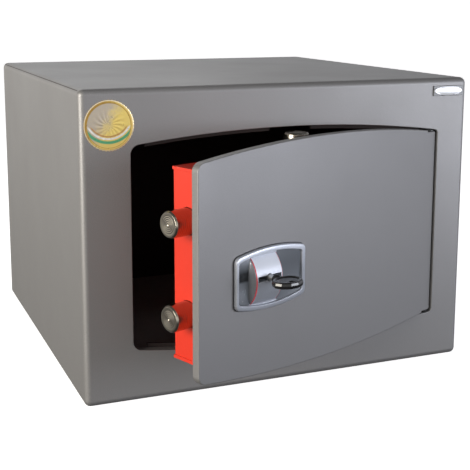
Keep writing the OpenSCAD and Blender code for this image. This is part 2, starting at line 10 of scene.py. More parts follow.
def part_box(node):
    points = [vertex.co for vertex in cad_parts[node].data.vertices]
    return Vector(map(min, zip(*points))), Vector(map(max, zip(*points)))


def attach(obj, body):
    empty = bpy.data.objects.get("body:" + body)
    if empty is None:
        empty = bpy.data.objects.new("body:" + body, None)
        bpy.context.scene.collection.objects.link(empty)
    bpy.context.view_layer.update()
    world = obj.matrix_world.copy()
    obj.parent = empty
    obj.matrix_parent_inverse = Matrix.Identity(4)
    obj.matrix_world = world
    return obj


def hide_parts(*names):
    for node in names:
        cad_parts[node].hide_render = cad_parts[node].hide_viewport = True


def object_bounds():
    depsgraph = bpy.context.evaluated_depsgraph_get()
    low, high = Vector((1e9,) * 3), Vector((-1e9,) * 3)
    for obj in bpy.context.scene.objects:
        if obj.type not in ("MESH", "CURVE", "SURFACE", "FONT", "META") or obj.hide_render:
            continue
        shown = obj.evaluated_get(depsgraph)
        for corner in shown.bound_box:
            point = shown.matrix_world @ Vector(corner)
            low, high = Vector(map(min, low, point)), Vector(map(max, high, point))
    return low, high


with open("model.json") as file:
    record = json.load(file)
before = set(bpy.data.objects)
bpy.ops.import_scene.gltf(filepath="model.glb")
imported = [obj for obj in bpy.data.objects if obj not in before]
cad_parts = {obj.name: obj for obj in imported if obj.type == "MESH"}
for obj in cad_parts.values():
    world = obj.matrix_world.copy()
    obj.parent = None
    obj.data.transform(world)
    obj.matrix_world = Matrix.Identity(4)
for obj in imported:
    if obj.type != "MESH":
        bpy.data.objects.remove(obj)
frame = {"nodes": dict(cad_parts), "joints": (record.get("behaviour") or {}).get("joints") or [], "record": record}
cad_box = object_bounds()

MM = 0.001

# ---------- the frame: joints, and the door as it is when closed ----------

JOINTS = {j["name"]: j for j in frame["joints"]}
SWING = JOINTS["door_swing"]
HINGE = Vector(SWING["pos_m"])
DOOR_OPEN = -math.radians(SWING["range_deg"][0])
ON_DOOR = (
    Matrix.Translation(HINGE)
    @ Matrix.Rotation(DOOR_OPEN, 4, "Z")
    @ Matrix.Translation(-HINGE)
)
FIXED = Matrix.Identity(4)
BODY_OF = {n: b for b, ns in frame["record"]["behaviour"]["bodies"].items() for n in ns}
SLOT_OF = {s["node"]: s["material_slot"] for s in frame["record"]["subparts"]}


def own_box(node):
    """Lowest and highest corner of a node in its own frame, so of a door node with the door closed."""
    back = (FIXED if BODY_OF[node] == "root" else ON_DOOR).inverted()
    points = [back @ v.co for v in frame["nodes"][node].data.vertices]
    low = Vector([min(p[i] for p in points) for i in range(3)])
    high = Vector([max(p[i] for p in points) for i in range(3)])
    return low, high


FRAME_LOW, FRAME_HIGH = own_box("front_frame")
FRONT_Y = FRAME_LOW.y
FRAME_BACK_Y = FRAME_HIGH.y
ESC_LOW, ESC_HIGH = own_box("escutcheon_frame")
ESC_MIDDLE = (ESC_LOW.z + ESC_HIGH.z) / 2
ESC_HALF = (ESC_HIGH.z - ESC_LOW.z) / 2


# ---------- outlines ----------


def face_outlines(node, y, least=0.0):
    """Outlines of a node's flat face at depth y, as lists of (x, z), with the metal on their left.

    Outlines around less than the area least, in square millimetres, are left out."""
    mesh = frame["nodes"][node].data
    back = (FIXED if BODY_OF[node] == "root" else ON_DOOR).inverted()
    points = [back @ v.co for v in mesh.vertices]
    corner = [(round(p.x, 6), round(p.z, 6)) for p in points]
    on_face = [abs(p.y - y) < 0.02 * MM for p in points]
    count = {}
    for face in mesh.polygons:
        if all(on_face[i] for i in face.vertices):
            ring = [corner[i] for i in face.vertices]
            for a, b in zip(ring, ring[1:] + ring[:1]):
                count[a, b] = count.get((a, b), 0) + 1
    border = {a: b for (a, b), n in count.items() if a != b and n > count.get((b, a), 0)}
    outlines = []
    while border:
        start, here = border.popitem()
        loop = [start]
        while here != start:
            loop.append(here)
            here = border.pop(here)
        if abs(area(loop)) > least * MM * MM:
            outlines.append(loop)
    return sorted(outlines, key=lambda loop: -abs(area(loop)))


def area(loop):
    """Signed area inside a loop of 2-D points."""
    return 0.5 * sum(a[0] * b[1] - b[0] * a[1] for a, b in zip(loop, loop[1:] + loop[:1]))


def inset(loop, distance):
    """The loop moved to its left by a distance, with mitred corners."""
    moved = []
    for i, here in enumerate(loop):
        before, after = Vector(loop[i - 1]), Vector(loop[(i + 1) % len(loop)])
        p = Vector(here)
        u, v = (p - before).normalized(), (after - p).normalized()
        n1, n2 = Vector((-u.y, u.x)), Vector((-v.y, v.x))
        half = n1 + n2
        step = half / max(half.length_squared / 2, 0.2)
        moved.append(tuple(p + step * distance))
    return moved


def arc(cx, cz, r, start, end, n):
    """Points along an arc, with angles in radians."""
    turns = [start + (end - start) * i / n for i in range(n + 1)]
    return [(cx + r * math.cos(turn), cz + r * math.sin(turn)) for turn in turns]


def barrel(w, h, up, r, n_corner=8, n_arch=48):
    """Outline w wide with sides h high, arched top and bottom that rise by up, and rounded corners."""
    big = (w * w / 4 + up * up) / (2 * up)
    arch_z = h / 2 + up - big
    corner_z = arch_z + math.sqrt((big - r) ** 2 - (w / 2 - r) ** 2)
    turn = math.atan2(corner_z - arch_z, w / 2 - r)
    top = arc(w / 2 - r, corner_z, r, 0, turn, n_corner)
    top += arc(0, arch_z, big, turn, math.pi - turn, n_arch)[1:-1]
    top += arc(r - w / 2, corner_z, r, math.pi - turn, math.pi, n_corner)
    return top + [(-x, -z) for x, z in top]


def shifted(loop, x, z):
    """The loop moved by (x, z)."""
    return [(a + x, b + z) for a, b in loop]


# ---------- mesh building ----------


def add_ring(bm, loop, y):
    """A closed ring of vertices at depth y. y may be one value or a function of (x, z)."""
    depth = y if callable(y) else lambda x, z: y
    return [bm.verts.new((x, depth(x, z), z)) for x, z in loop]


def bridge(bm, a, b):
    """Quads between two rings with the same number of vertices."""
    n = len(a)
    for i in range(n):
        bm.faces.new((a[i], a[(i + 1) % n], b[(i + 1) % n], b[i]))


def cap(bm, rings):
    """Fills the flat region between closed rings."""
    edges = []
    for ring in rings:
        for a, b in zip(ring, ring[1:] + ring[:1]):
            edges.append(bm.edges.get((a, b)) or bm.edges.new((a, b)))
    bmesh.ops.triangle_fill(bm, edges=edges, use_beauty=True, use_dissolve=False)


def slab(outlines, y0, y1, front_r, back_r, steps=5):
    """Plate from depth y0 to y1 with its edges rounded, the first outline's by the first front radius."""
    bm = bmesh.new()
    first, last = [], []
    for i, loop in enumerate(outlines):
        r = front_r[min(i, len(front_r) - 1)]
        rings = []
        for k in range(steps + 1):
            turn = math.pi / 2 * k / steps
            ring = inset(loop, r * (1 - math.sin(turn)))
            rings.append(add_ring(bm, ring, y0 + r * (1 - math.cos(turn))))
        for k in range(steps + 1 if back_r else 1):
            turn = math.pi / 2 * k / steps
            ring = inset(loop, back_r * (1 - math.cos(turn)))
            rings.append(add_ring(bm, ring, y1 - back_r * (1 - math.sin(turn))))
        for a, b in zip(rings, rings[1:]):
            bridge(bm, a, b)
        first.append(rings[0])
        last.append(rings[-1])
    cap(bm, first)
    cap(bm, last)
    return bm


def lathe(profile, n=96):
    """Solid turned about Z from a profile of (radius, z) points that starts and ends on the axis."""
    bm = bmesh.new()
    rings = []
    for r, z in profile:
        if r == 0:
            rings.append([bm.verts.new((0, 0, z))])
        else:
            turns = [2 * math.pi * i / n for i in range(n)]
            rings.append([bm.verts.new((r * math.cos(t), r * math.sin(t), z)) for t in turns])
    for a, b in zip(rings, rings[1:]):
        if len(a) == 1 or len(b) == 1:
            tip, ring = (a[0], b) if len(a) == 1 else (b[0], a)
            for i in range(n):
                bm.faces.new((tip, ring[i], ring[(i + 1) % n]))
        else:
            bridge(bm, a, b)
    return bm


def smooth_by_angle(obj, degrees=40):
    """Smooth shading that keeps corners sharper than an angle, with flat faces kept flat."""
    mesh = obj.data
    for face in mesh.polygons:
        face.use_smooth = True
    mesh.set_sharp_from_angle(angle=math.radians(degrees))
    weighted = obj.modifiers.new("weighted", "WEIGHTED_NORMAL")
    weighted.keep_sharp = True


def piece(name, bm, nodes, material, place=None, body=None):
    """A finished piece that stands for CAD nodes, and rides on their body."""
    bmesh.ops.remove_doubles(bm, verts=bm.verts, dist=0.002 * MM)
    bmesh.ops.recalc_face_normals(bm, faces=bm.faces)
    mesh = bpy.data.meshes.new(name)
    bm.to_mesh(mesh)
    bm.free()
    mesh.materials.append(material)
    obj = bpy.data.objects.new(name, mesh)
    bpy.context.scene.collection.objects.link(obj)
    body = body or BODY_OF[nodes[0]]
    obj.matrix_world = place or (FIXED if body == "root" else ON_DOOR)
    smooth_by_angle(obj)
    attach(obj, body)
    if nodes:
        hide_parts(*nodes)
    return obj


# ---------- material nodes ----------


class Shader:
    """A material with a Principled shader and short ways to add the nodes that feed it."""

    def __init__(self, name, color, metallic, roughness):
        self.material = bpy.data.materials.new(name)
        self.material.use_nodes = True
        self.tree = self.material.node_tree
        self.surface = next(n for n in self.tree.nodes if n.type == "BSDF_PRINCIPLED")
        self.set("Base Color", (*color, 1))
        self.set("Metallic", metallic)
        self.set("Roughness", roughness)
        self.material.diffuse_color = (*color, 1)
        self.place = self.add("ShaderNodeTexCoord").outputs["Object"]

    def set(self, socket, value):
        self.surface.inputs[socket].default_value = value

    def add(self, kind, inputs=None, **settings):
        node = self.tree.nodes.new(kind)
        for key, value in settings.items():
            setattr(node, key, value)
        for key, value in (inputs or {}).items():
            if isinstance(value, bpy.types.NodeSocket):
                self.tree.links.new(value, node.inputs[key])
            else:
                node.inputs[key].default_value = value
        return node

    def feed(self, socket, value):
        self.tree.links.new(value, self.surface.inputs[socket])

    def stretched(self, scale):
        mapping = self.add("ShaderNodeMapping", {"Vector": self.place, "Scale": scale})
        return mapping.outputs["Vector"]

    def noise(self, feature, detail=2.0, rough=0.5, vector=None):
        """Noise whose features are about so many metres across."""
        inputs = {"Vector": vector or self.place, "Scale": 1 / feature, "Detail": detail, "Roughness": rough}
        return self.add("ShaderNodeTexNoise", inputs).outputs["Fac"]

    def math(self, operation, a, b=0.0):
        return self.add("ShaderNodeMath", {0: a, 1: b}, operation=operation).outputs[0]

    def remap(self, value, low, high, to_low=0.0, to_high=1.0, smooth=False):
        inputs = {"Value": value, "From Min": low, "From Max": high, "To Min": to_low, "To Max": to_high}
        kind = "SMOOTHSTEP" if smooth else "LINEAR"
        return self.add("ShaderNodeMapRange", inputs, interpolation_type=kind).outputs["Result"]

    def mix(self, amount, a, b):
        node = self.add("ShaderNodeMix", data_type="RGBA")
        for socket, value in ((0, amount), (6, a), (7, b)):
            if isinstance(value, bpy.types.NodeSocket):
                self.tree.links.new(value, node.inputs[socket])
            else:
                node.inputs[socket].default_value = value if socket == 0 else (*value, 1)
        return node.outputs[2]

    def ramp(self, value, shades, tint):
        """A colour that runs through (place, grey) stops, with a tint over the greys."""
        node = self.add("ShaderNodeValToRGB", {"Fac": value})
        elements = node.color_ramp.elements
        while len(elements) < len(shades):
            elements.new(0.5)
        for element, (at, grey) in zip(elements, shades):
            element.position = at
            element.color = (*(grey * t for t in tint), 1)
        return node.outputs["Color"]

    def axes(self):
        """The x, y and z outputs of the place on the object."""
        return self.add("ShaderNodeSeparateXYZ", {"Vector": self.place}).outputs

    def edges(self, width, sharp=0.12):
        """1 along sharp edges and 0 on open faces."""
        rounded = self.add("ShaderNodeBevel", {"Radius": width}, samples=4).outputs["Normal"]
        true = self.add("ShaderNodeNewGeometry").outputs["Normal"]
        dot = self.add("ShaderNodeVectorMath", {0: rounded, 1: true}, operation="DOT_PRODUCT")
        return self.remap(dot.outputs["Value"], 1 - sharp * 0.15, 1 - sharp)

    def bump(self, *layers):
        """Bump from (height, depth in metres) layers."""
        normal = None
        for height, depth in layers:
            inputs = {"Height": height, "Distance": depth, "Strength": 1.0}
            if normal is not None:
                inputs["Normal"] = normal
            normal = self.add("ShaderNodeBump", inputs).outputs["Normal"]
        self.feed("Normal", normal)


def lighter(color, share):
    return tuple(c + (1 - c) * share for c in color)


def darker(color, share):
    return tuple(c * (1 - share) for c in color)


def structured_paint(name, color, painted_cavity_shade=False):
    """Satin metallic powder coat with a fine grain, soft clouds in its tone and rubbed edges.

    The faces of the cavity can be painted nearly black, with a faint warm tint and little gloss: painted shade for
    the dark inside of the safe."""
    m = Shader(name, color, 0.5, 0.45)
    grain = m.noise(0.7 * MM, 3, 0.6)
    peel = m.noise(2.6 * MM, 2, 0.5)
    clouds = m.noise(90 * MM, 3, 0.55)
    speck = m.mix(m.remap(grain, 0.35, 0.7), darker(color, 0.16), lighter(color, 0.05))
    tone = m.mix(m.remap(clouds, 0.3, 0.7, 0, 0.5), speck, darker(color, 0.1))
    rub = m.math("MULTIPLY", m.edges(0.9 * MM), m.remap(m.noise(7 * MM, 4, 0.65), 0.42, 0.7))
    tone = m.mix(m.math("MULTIPLY", rub, 0.35), tone, lighter(color, 0.22))
    mottle = m.math("ADD", m.math("MULTIPLY", grain, 0.6), m.math("MULTIPLY", clouds, 0.4))
    # Painted shade: inside the cavity the paint is made nearly black and loses its gloss, where the shade falls.
    if painted_cavity_shade:
        x, y, z = m.axes()
        wall_in = 1.5 * MM
        across = m.math("LESS_THAN", m.math("ABSOLUTE", x), FRAME_HIGH.x - wall_in)
        behind = m.math("GREATER_THAN", y, FRAME_BACK_Y - 0.5 * MM)
        above = m.math("GREATER_THAN", z, wall_in)
        below = m.math("LESS_THAN", z, FRAME_HIGH.z - wall_in)
        ahead = m.math("LESS_THAN", y, cad_box[1].y - wall_in)
        inside = m.math("MULTIPLY", m.math("MULTIPLY", across, behind), m.math("MULTIPLY", above, below))
        inside = m.math("MULTIPLY", inside, ahead)
        tone = m.mix(inside, tone, tuple(c * t for c, t in zip(color, (0.13, 0.105, 0.10))))
        m.feed("Metallic", m.remap(inside, 0, 1, 0.5, 0.0))
        m.feed("Specular IOR Level", m.remap(inside, 0, 1, 0.5, 0.15))
    m.feed("Base Color", tone)
    m.feed("Roughness", m.remap(mottle, 0.3, 0.7, 0.40, 0.52))
    m.bump((grain, 0.03 * MM), (peel, 0.045 * MM))
    return m.material


def gloss_paint(name, color):
    """Gloss enamel with orange peel, soft clouds in its tone and thin bright edges."""
    m = Shader(name, color, 0.0, 0.34)
    m.set("Coat Weight", 0.25)
    m.set("Coat Roughness", 0.12)
    peel = m.noise(3.2 * MM, 2, 0.5)
    clouds = m.noise(45 * MM, 3, 0.6)
    tone = m.mix(m.remap(clouds, 0.3, 0.7), darker(color, 0.08), color)
    rub = m.math("MULTIPLY", m.edges(0.6 * MM), m.remap(m.noise(5 * MM, 4, 0.6), 0.5, 0.72))
    tone = m.mix(m.math("MULTIPLY", rub, 0.3), tone, lighter(color, 0.25))
    m.feed("Base Color", tone)
    m.feed("Roughness", m.remap(peel, 0.3, 0.7, 0.28, 0.4))
    m.bump((peel, 0.06 * MM), (m.noise(0.8 * MM), 0.01 * MM))
    return m.material


def turned_metal(name, color, roughness=0.19):
    """Nickel-plated turned bar: rings round the axis on its end and along its length."""
    m = Shader(name, color, 1.0, roughness)
    x, y, z = m.axes()
    squares = m.math("ADD", m.math("MULTIPLY", x, x), m.math("MULTIPLY", y, y))
    along = m.math("ADD", m.math("SQRT", squares), m.math("MULTIPLY", z, 0.8))
    pitch = 1.7 * MM
    wander = m.math("MULTIPLY", m.noise(9 * MM, 1), 0.25 * MM)
    turned = m.math("MULTIPLY", m.math("ADD", along, wander), 2 * math.pi / pitch)
    rings = m.math("SINE", turned)
    fine = m.math("SINE", m.math("MULTIPLY", turned, 2.7))
    smudge = m.noise(5 * MM, 3, 0.6)
    tone = m.mix(m.remap(rings, -1, 1), darker(color, 0.3), color)
    tone = m.mix(m.remap(smudge, 0.4, 0.75, 0, 0.5), tone, darker(color, 0.35))
    # Painted highlight: the sharp edges and chamfer rims are painted lighter, as if catching the light.
    tone = m.mix(m.math("MULTIPLY", m.edges(0.5 * MM), 0.7), tone, lighter(color, 0.55))
    m.feed("Base Color", tone)
    m.feed("Roughness", m.remap(smudge, 0.3, 0.75, roughness * 0.8, roughness * 1.4))
    m.bump((rings, 0.003 * MM), (fine, 0.0012 * MM))
    return m.material


def brushed_steel(name, color, roughness=0.38):
    """Zinc-plated sheet: brushed lines, a faint bluish bloom and dull spots."""
    m = Shader(name, color, 1.0, roughness)
    lines = m.noise(2 * MM, 3, 0.7, m.stretched((1, 1, 14)))
    bloom = m.noise(18 * MM, 3, 0.6)
    spangle = m.add("ShaderNodeTexVoronoi", {"Vector": m.place, "Scale": 1 / (5 * MM)}).outputs["Distance"]
    tone = m.mix(m.remap(lines, 0.3, 0.7), darker(color, 0.18), color)
    tone = m.mix(m.remap(bloom, 0.4, 0.7, 0, 0.5), tone, (color[0] * 0.8, color[1] * 0.86, color[2] * 0.98))
    m.feed("Base Color", tone)
    mottled = m.math("ADD", m.math("MULTIPLY", lines, 0.5), m.math("MULTIPLY", spangle, 0.5))
    m.feed("Roughness", m.remap(mottled, 0.2, 0.7, roughness * 0.75, roughness * 1.35))
    m.bump((lines, 0.02 * MM))
    return m.material


def machined_brass(name, color):
    """Brass with tool marks and a little tarnish."""
    m = Shader(name, color, 1.0, 0.3)
    marks = m.noise(0.9 * MM, 2, 0.6, m.stretched((1, 8, 1)))
    tarnish = m.noise(9 * MM, 4, 0.65)
    tone = m.mix(m.remap(marks, 0.3, 0.7), darker(color, 0.15), color)
    tone = m.mix(m.remap(tarnish, 0.5, 0.75, 0, 0.6), tone, (0.28, 0.19, 0.09))
    m.feed("Base Color", tone)
    m.feed("Roughness", m.remap(tarnish, 0.3, 0.75, 0.24, 0.5))
    m.bump((marks, 0.015 * MM))
    return m.material


def needled_felt(name, color):
    """Felt: short crossed fibres over soft lumps, with a dull sheen."""
    m = Shader(name, color, 0.0, 0.95)
    m.set("Sheen Weight", 0.5)
    m.set("Sheen Roughness", 0.6)
    along = m.noise(1.2 * MM, 3, 0.7, m.stretched((1, 6, 6)))
    across = m.noise(1.2 * MM, 3, 0.7, m.stretched((6, 1, 6)))
    fibres = m.math("MAXIMUM", along, across)
    lumps = m.noise(11 * MM, 3, 0.6)
    tone = m.mix(m.remap(fibres, 0.45, 0.75), darker(color, 0.35), lighter(color, 0.1))
    tone = m.mix(m.remap(lumps, 0.35, 0.7, 0, 0.4), tone, darker(color, 0.4))
    m.feed("Base Color", tone)
    m.bump((fibres, 0.25 * MM), (lumps, 0.4 * MM))
    return m.material


def moulded_plastic(name, color, roughness=0.13):
    """Black moulded plastic: a faint leathery grain, flow marks and fine scuffs."""
    m = Shader(name, color, 0.0, roughness)
    m.set("IOR", 1.5)
    grain = m.noise(0.9 * MM, 3, 0.6)
    flow = m.noise(12 * MM, 3, 0.6)
    scuffs = m.noise(1.5 * MM, 4, 0.7, m.stretched((1, 7, 2)))
    tone = m.mix(m.remap(flow, 0.3, 0.7), color, lighter(color, 0.02))
    tone = m.mix(m.remap(scuffs, 0.62, 0.8, 0, 0.5), tone, lighter(color, 0.03))
    m.feed("Base Color", tone)
    m.feed("Roughness", m.remap(scuffs, 0.35, 0.75, roughness * 0.8, roughness * 1.6))
    m.bump((grain, 0.004 * MM), (flow, 0.02 * MM))
    return m.material


def satin_cast(name, color, shades=None, metallic=0.4):
    """Satin lacquered casting with a fine grain and a cool bloom; when shades are given, painted light and shade
    run through them from low to high.
    """
    m = Shader(name, color, metallic, 0.3)
    grain = m.noise(0.5 * MM, 2, 0.6)
    clouds = m.noise(14 * MM, 3, 0.6)
    base = m.mix(m.remap(clouds, 0.3, 0.7), darker(color, 0.07), lighter(color, 0.05))
    if shades:
        # Painted light and shade: the colour follows the given shades by height, darker low down and lighter at
        # the top, where the light falls.
        height = m.remap(m.axes()[2], ESC_MIDDLE - ESC_HALF, ESC_MIDDLE + ESC_HALF)
        base = m.mix(m.remap(clouds, 0.3, 0.7, 0, 0.12), m.ramp(height, shades, (0.90, 0.95, 1.06)), color)
    # Painted highlight: the sharp edges are painted lighter, as if catching the light.
    tone = m.mix(m.math("MULTIPLY", m.edges(0.4 * MM), 0.5), base, lighter(color, 0.45))
    m.feed("Base Color", tone)
    m.feed("Roughness", m.remap(grain, 0.3, 0.7, 0.26, 0.38))
    m.bump((grain, 0.003 * MM))
    return m.material


def smoked_window(name, middle_z, half_h, shades):
    """Smoked panel whose grey runs through the given shades from its foot to its top, as painted reflection and
    shade.
    """
    m = Shader(name, (0.05, 0.055, 0.065), 0.1, 0.22)
    height = m.remap(m.axes()[2], middle_z - half_h, middle_z + half_h)
    haze = m.noise(5 * MM, 3, 0.6)
    shade = m.ramp(height, shades, (0.90, 0.99, 1.12))
    m.feed("Base Color", m.mix(m.remap(haze, 0.35, 0.75, 0, 0.2), shade, (0.14, 0.15, 0.165)))
    m.feed("Roughness", m.remap(haze, 0.3, 0.7, 0.18, 0.28))
    m.bump((m.noise(0.7 * MM), 0.002 * MM))
    return m.material


def foil(name, color, centre, radius):
    """Gold foil seal: pale at the upper left, warm at the right, with plain ribbon arcs low on it."""
    m = Shader(name, color, 0.55, 0.34)
    offset = m.add("ShaderNodeVectorMath", {0: m.place, 1: centre}, operation="SUBTRACT").outputs["Vector"]
    x, _, z = m.add("ShaderNodeSeparateXYZ", {"Vector": offset}).outputs
    squares = m.math("ADD", m.math("MULTIPLY", x, x), m.math("MULTIPLY", z, z))
    share = m.math("DIVIDE", m.math("SQRT", squares), radius)
    raised = m.math("SUBTRACT", z, 0.42 * radius)
    bow = m.math("SQRT", m.math("ADD", m.math("MULTIPLY", x, x), m.math("MULTIPLY", raised, raised)))
    bow = m.math("DIVIDE", bow, radius)
    brushing = m.noise(1.6 * MM, 2, 0.6, m.stretched((1, 1, 6)))
    sparkle = m.noise(6 * MM, 2, 0.6)
    slant = m.math("SUBTRACT", m.math("MULTIPLY", x, 0.85 / radius), m.math("MULTIPLY", z, 0.53 / radius))
    slant = m.math("ADD", slant, m.math("MULTIPLY", m.math("SUBTRACT", sparkle, 0.5), 0.7))
    pale, gold, deep = (0.46, 0.41, 0.35), (0.78, 0.60, 0.16), (0.40, 0.24, 0.05)
    field = m.mix(m.remap(slant, -0.45, 0.25, smooth=True), pale, gold)
    field = m.mix(m.remap(brushing, 0.4, 0.7, 0, 0.35), field, (0.62, 0.52, 0.28))

    def band(value, low, high):
        edge = 0.012
        up = m.remap(value, low - edge, low + edge)
        return m.math("MULTIPLY", up, m.remap(value, high - edge, high + edge, 1, 0))

    rim = m.mix(m.remap(slant, -0.8, 0.1, smooth=True), deep, color)
    tone = m.mix(m.remap(share, 0.86, 0.88), field, rim)
    below = m.math("MULTIPLY", m.remap(share, 0.86, 0.88, 1, 0), m.remap(z, -0.10 * radius, 0.0, 1, 0))
    ribbons = (
        (0.82, 0.87, (0.48, 0.26, 0.10)),
        (0.90, 0.97, (0.80, 0.80, 0.76)),
        (1.02, 1.13, (0.10, 0.38, 0.20)),
    )
    for low, high, ink in ribbons:
        tone = m.mix(m.math("MULTIPLY", band(bow, low, high), below), tone, ink)
    tone = m.mix(band(share, 0.86, 0.885), tone, deep)
    tone = m.mix(band(share, 0.955, 0.98), tone, (0.86, 0.80, 0.62))
    m.feed("Base Color", tone)
    m.feed("Roughness", m.remap(sparkle, 0.3, 0.7, 0.26, 0.42))
    m.bump((brushing, 0.004 * MM))
    return m.material


PAINT_COLOR = (0.245, 0.243, 0.247)
RED_COLOR = (0.66, 0.032, 0.012)
BLACK = (0.006, 0.006, 0.007)

paint = structured_paint("body_paint", PAINT_COLOR, painted_cavity_shade=True)
door_paint = structured_paint("door_paint", PAINT_COLOR)
red = gloss_paint("red_enamel", RED_COLOR)
red_line = gloss_paint("red_line", (0.62, 0.03, 0.05))
nickel = turned_metal("turned_nickel", (0.46, 0.43, 0.37))
key_steel = brushed_steel("key_steel", (0.66, 0.65, 0.62), 0.28)
zinc = brushed_steel("zinc_plate", (0.56, 0.57, 0.59))
brass = machined_brass("machined_brass", (0.70, 0.53, 0.24))
felt = needled_felt("needled_felt", (0.014, 0.0135, 0.014))
plastic = moulded_plastic("black_plastic", BLACK)
# A thin dark sheet under the escutcheon's rim stands in for the shadow round it: painted shadow.
shadow_sheet_black = moulded_plastic("shadow_sheet_black", (0.018, 0.019, 0.026), 0.5)
# Painted light and shade for the escutcheon's rim, barrel and cheeks: darker at the foot, lighter towards the top.
# The cheeks' darker grey is painted shade as well.
RIM_PAINTED_SHADING = [(0.0, 0.42), (0.5, 0.44), (0.85, 0.62), (1.0, 0.72)]
BARREL_PAINTED_SHADING = [(0.1, 0.40), (0.30, 0.34), (0.49, 0.36), (0.55, 0.62), (0.70, 0.80), (0.88, 0.95)]
CHEEK_PAINTED_SHADING = [(0.1, 0.20), (0.45, 0.17), (0.62, 0.22), (0.80, 0.42), (0.92, 0.62)]
silver = satin_cast("satin_silver", (0.44, 0.48, 0.57), RIM_PAINTED_SHADING)
barrel_silver = satin_cast("barrel_silver", (0.52, 0.56, 0.64), BARREL_PAINTED_SHADING, metallic=0.12)
cheek_silver = satin_cast("cheek_silver", (0.20, 0.215, 0.24), CHEEK_PAINTED_SHADING)
bright_silver = satin_cast("bright_silver", (0.72, 0.74, 0.78))

SLOT_LOOKS = {
    "body_paint": paint,
    "red_paint": red,
    "zinc_steel": zinc,
    "nickel": key_steel,
    "brass": brass,
    "felt": felt,
    "gold_foil": brass,
    "black_plastic": plastic,
    "silver_cast": silver,
}


# ---------- body ----------


def front_frame():
    """Thick front plate: broad bends outside, and a softly broken edge round the opening."""
    bend_r = 5.95 * MM
    break_r = 0.7 * MM
    outer = face_outlines("front_frame", FRAME_BACK_Y, 100)[0]
    if area(outer) < 0:
        outer = outer[::-1]
    opening = face_outlines("front_frame", FRONT_Y, 100)[1]
    bm = slab([outer, opening], FRONT_Y, FRAME_BACK_Y, [bend_r, break_r], 0, steps=8)
    return piece("front_frame_plate", bm, ["front_frame"], paint)


def floor_mat():
    """Felt mat with soft edges and holes over the anchor holes."""
    low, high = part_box("floor_mat")
    hole_r = 12 * MM
    pitch = frame["record"]["mounts"][1]["dims"]["spacing_x_mm"] * MM
    outline = [(low.x, low.y), (high.x, low.y), (high.x, high.y), (low.x, high.y)]
    holes = [arc(side * pitch / 2, 0, hole_r, 0, -2 * math.pi, 48)[:-1] for side in (-1, 1)]
    bm = slab([outline, *holes], -high.z, -low.z, [1.2 * MM], 0.4 * MM)
    bmesh.ops.transform(bm, matrix=Matrix.Rotation(-math.pi / 2, 4, "X"), verts=bm.verts)
    return piece("felt_floor_mat", bm, ["floor_mat"], felt)


def foil_seal():
    """Round foil seal with a pinked edge, a raised rim and a rosette pressed into it."""
    low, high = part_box("seal_sticker")
    centre = (low + high) / 2
    radius, thick = (high.x - low.x) / 2, high.y - low.y
    teeth, petals, around = 48, 16, 480
    bm = bmesh.new()
    steps = 56

    def height(share, turn):
        rim = 0.25 * math.exp(-(((share - 0.92) / 0.035) ** 2))
        fade = math.sin(math.pi * min(share / 0.8, 1.0)) ** 2
        rose = 0.3 * fade * (0.5 + 0.5 * math.cos(petals * turn + 9 * share))
        return thick * min(1.0, 0.5 + rim + rose)

    rings = []
    for i in range(steps + 1):
        share = max(i / steps, 0.004)
        ring = []
        for k in range(around):
            turn = 2 * math.pi * k / around
            edge = 1 - 0.018 * (0.5 - 0.5 * math.cos(teeth * turn)) * share**12
            r = radius * share * edge
            y = high.y - (height(share, turn) if i < steps else thick * 0.12)
            ring.append(bm.verts.new((centre.x + r * math.cos(turn), y, centre.z + r * math.sin(turn))))
        rings.append(ring)
    rings.append([bm.verts.new((v.co.x, high.y, v.co.z)) for v in rings[-1]])
    for a, b in zip(rings, rings[1:]):
        bridge(bm, a, b)
    bm.faces.new(rings[0])
    bm.faces.new(rings[-1])
    look = foil("gold_foil", (0.72, 0.53, 0.16), centre, radius)
    return piece("foil_seal", bm, ["seal_sticker"], look)


def badge():
    """Blank badge: a black plate with softened edges under a domed oval with a step round it."""
    low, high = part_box("badge_plate")
    x, z = (low.x + high.x) / 2, (low.z + high.z) / 2
    half_w, half_h, r = (high.x - low.x) / 2, (high.z - low.z) / 2, 1.0 * MM
    outline = []
    for i, (sx, sz) in enumerate(((1, 1), (-1, 1), (-1, -1), (1, -1))):
        start = math.pi / 2 * i
        outline += arc(x + sx * (half_w - r), z + sz * (half_h - r), r, start, start + math.pi / 2, 5)
    bm = slab([outline], low.y, high.y, [0.3 * MM], 0)
    piece("badge_backing", bm, ["badge_plate"], plastic)

    low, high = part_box("badge_oval")
    half_w, half_h = (high.x - low.x) / 2, 4.4 * MM
    profile = [(1.0, 0.0), (1.0, 0.35), (0.975, 0.55), (0.90, 0.62), (0.86, 0.5), (0.82, 0.62)]
    profile += [(0.6, 0.82), (0.3, 0.95), (0.02, 1.0)]
    bm = bmesh.new()
    rings = []
    for share, up in profile:
        loop = arc(0, 0, 1, 0, 2 * math.pi, 96)[:-1]
        ring = [(x + a * half_w * share, z + b * half_h * share) for a, b in loop]
        rings.append(add_ring(bm, ring, high.y - (high.y - low.y) * up))
    for a, b in zip(rings, rings[1:]):
        bridge(bm, a, b)
    bm.faces.new(rings[0])
    bm.faces.new(rings[-1])
    piece("badge_dome", bm, ["badge_oval"], bright_silver)


# ---------- door ----------


def door_plate():
    """Flat door plate with softened edges and the keyhole through it, without bores for the pins."""
    low, high = own_box("door_plate")
    outlines = face_outlines("door_plate", low.y, 60)
    bm = slab(outlines, low.y, high.y, [0.9 * MM, 0.3 * MM], 0.6 * MM)
    return piece("door_leaf", bm, ["door_plate"], door_paint)


